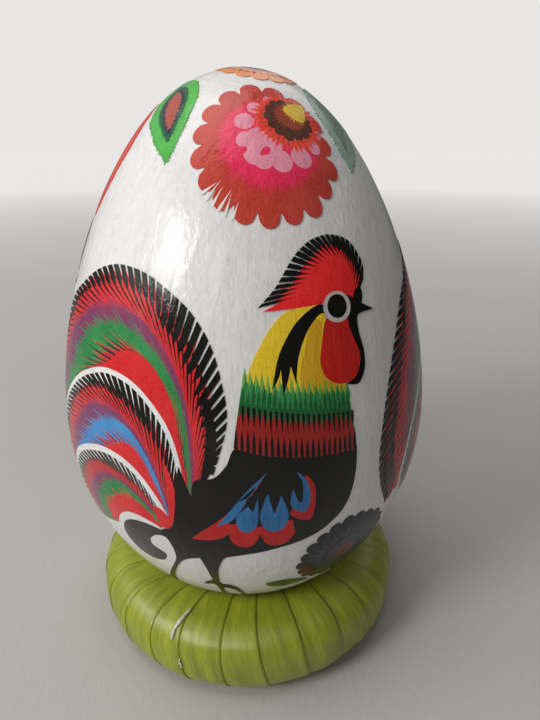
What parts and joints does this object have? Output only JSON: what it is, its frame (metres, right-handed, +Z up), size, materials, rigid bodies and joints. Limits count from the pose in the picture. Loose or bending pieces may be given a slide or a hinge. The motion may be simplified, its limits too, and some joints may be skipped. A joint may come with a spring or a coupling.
{
  "type": "decorated easter egg on a ribbon ring",
  "caption": "Upright egg covered in white paper with glued folk-art paper roosters, rosettes and leaves, standing loose in a low ring wrapped in satin ribbon.",
  "frame": {"origin": "middle of the ring's underside, on the surface the part stands on", "axes": "+Z up along the egg's long axis, -Y the front that shows the whole rooster, +X to the viewer's right"},
  "size_m": [0.0833, 0.0832, 0.1286],
  "materials": {
    "egg_foam": "fine closed bead foam",
    "white_paper": "fibrous tissue under gloss varnish",
    "rooster_print": "printed tissue under gloss varnish",
    "red_flower_print": "printed tissue under gloss varnish",
    "violet_flower_print": "printed tissue under gloss varnish",
    "orange_flower_print": "printed tissue under gloss varnish",
    "red_leaf_print": "printed tissue under gloss varnish",
    "green_leaf_print": "printed tissue under gloss varnish",
    "ring_foam": "fine closed bead foam",
    "satin_ribbon": "satin weave",
    "set_glue": "clear set glue"
  },
  "bodies": {
    "stand": {"ring_core": "ring_foam", "ribbon_wrap": "satin_ribbon", "glue_strand": "set_glue"},
    "egg": {"foam_core": "egg_foam", "paper_skin": "white_paper", "rooster_front": "rooster_print", "low_rosette_front": "violet_flower_print", "low_leaf_front": "green_leaf_print", "rosette_front": "red_flower_print", "rooster_right": "rooster_print", "low_rosette_right": "violet_flower_print", "low_leaf_right": "green_leaf_print", "rosette_right": "red_flower_print", "rooster_left": "rooster_print", "low_rosette_left": "violet_flower_print", "low_leaf_left": "green_leaf_print", "rosette_left": "red_flower_print", "crown_flower": "orange_flower_print", "leaf_green_left": "green_leaf_print", "leaf_red_left": "red_leaf_print", "leaf_green_right": "green_leaf_print", "leaf_red_back": "red_leaf_print"}
  },
  "joints": [
    {"name": "egg_lift", "type": "slide", "parent": "stand", "child": "egg", "axis": [0, 0, 1], "range_m": [0, 0.03]}
  ]
}
